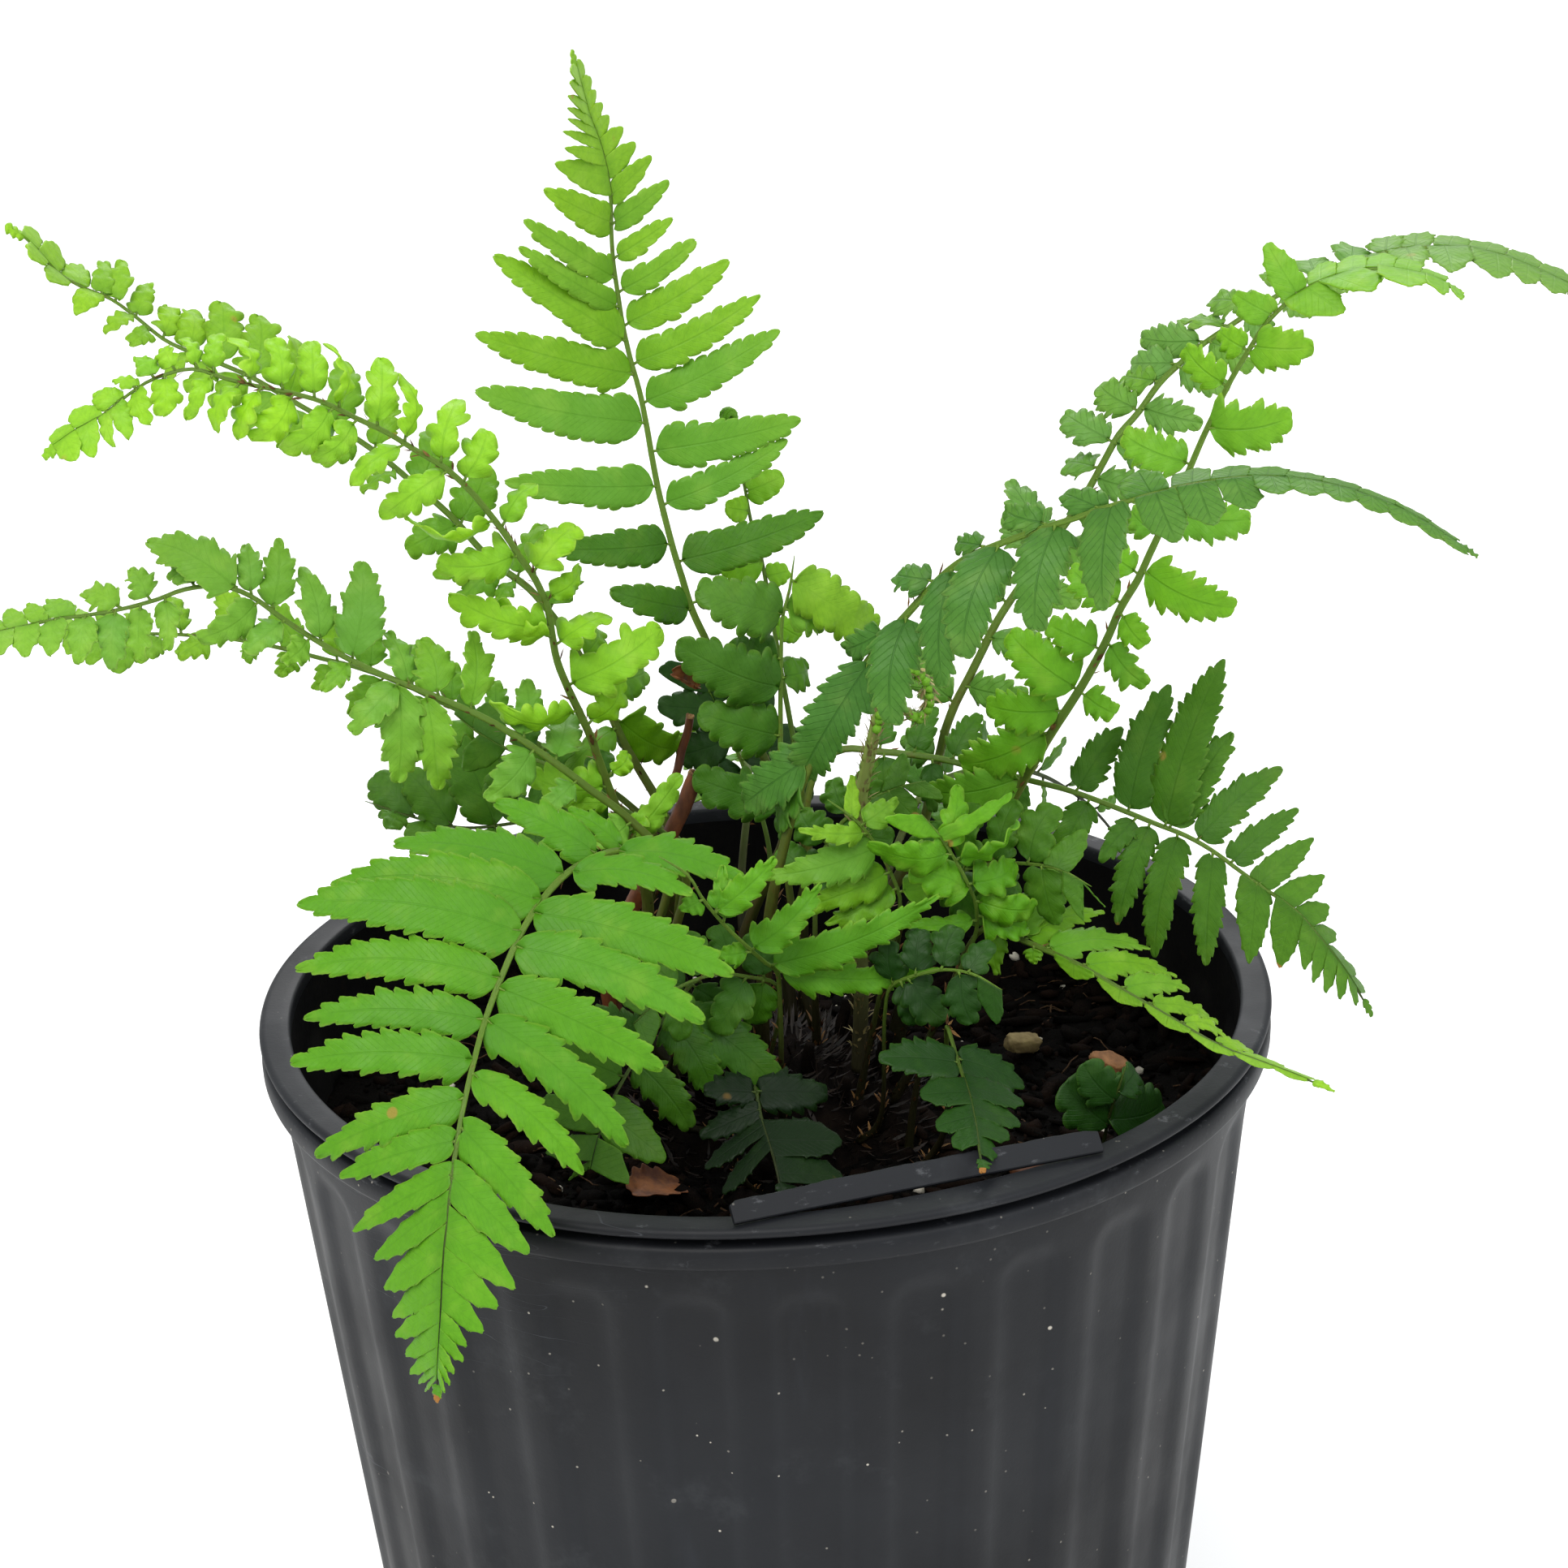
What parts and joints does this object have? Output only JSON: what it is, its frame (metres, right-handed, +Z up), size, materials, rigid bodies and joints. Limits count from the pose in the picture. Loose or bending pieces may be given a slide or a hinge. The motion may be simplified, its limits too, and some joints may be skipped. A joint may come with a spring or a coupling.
{
  "type": "potted fern",
  "caption": "Live fern with arching, once-divided fronds growing from a scaly crown in dark potting mix, in a round fluted nursery pot with a rolled rim.",
  "frame": {"origin": "centre of the pot's base, on the plane that the pot rests on", "axes": "+Z up; the side with the drooping front frond and the open view of the crown faces -Y; +X is to the right in that view"},
  "size_m": [0.2691, 0.2195, 0.3151],
  "materials": {
    "pot_plastic": "satin",
    "potting_mix": "matte",
    "crown": "matte",
    "leaf_mid": "satin",
    "leaf_bright": "satin",
    "leaf_dark": "satin",
    "leaf_mid2": "satin",
    "leaf_yellowmid": "satin",
    "leaf_bluemid": "satin",
    "leaf_brightmid": "satin",
    "leaf_blue": "satin",
    "leaf_deep": "satin",
    "crozier": "matte",
    "dead_stem": "matte",
    "dead_leaf": "matte",
    "bark": "matte",
    "pale_chip": "matte"
  },
  "bodies": {
    "root": {"pot": "pot_plastic", "rim_strip": "pot_plastic", "potting_mix": "potting_mix", "crown_rhizome": "crown", "frond_tall_centre": "leaf_mid", "frond_young_crozier": "leaf_bright", "frond_broken_tip": "leaf_dark", "frond_upper_left_back": "leaf_mid", "frond_upper_left_front": "leaf_bright", "frond_left_upper": "leaf_mid2", "frond_left_lower": "leaf_mid", "frond_back_left": "leaf_dark", "frond_front_left_drooping": "leaf_yellowmid", "frond_upper_right_back": "leaf_bluemid", "frond_upper_right_front": "leaf_brightmid", "frond_right_blue_hanging": "leaf_blue", "frond_right": "leaf_dark", "frond_front_right": "leaf_mid", "frond_small_bright": "leaf_yellowmid", "frond_centre_front": "leaf_yellowmid", "frond_centre_right": "leaf_mid", "frond_small_front": "leaf_deep", "leaf_small_lobed": "leaf_deep", "frond_low_front": "leaf_deep", "frond_low_left": "leaf_dark", "frond_back_centre": "leaf_mid", "frond_back_right": "leaf_dark", "frond_inner_left": "leaf_dark", "frond_inner_back": "leaf_deep", "frond_inner_low": "leaf_dark", "frond_inner_right": "leaf_dark", "frond_low_middle": "leaf_dark", "frond_low_right": "leaf_deep", "crozier_hairy": "crozier", "cut_stub_thick": "dead_stem", "cut_stub_thin": "dead_stem", "dry_leaf_curl": "dead_leaf", "dry_leaf_piece": "dead_leaf", "bark_chip_front": "bark", "bark_chip_right": "bark", "bark_chip_tan": "bark", "pale_chip": "pale_chip", "pale_chip_small": "pale_chip"}
  },
  "joints": []
}
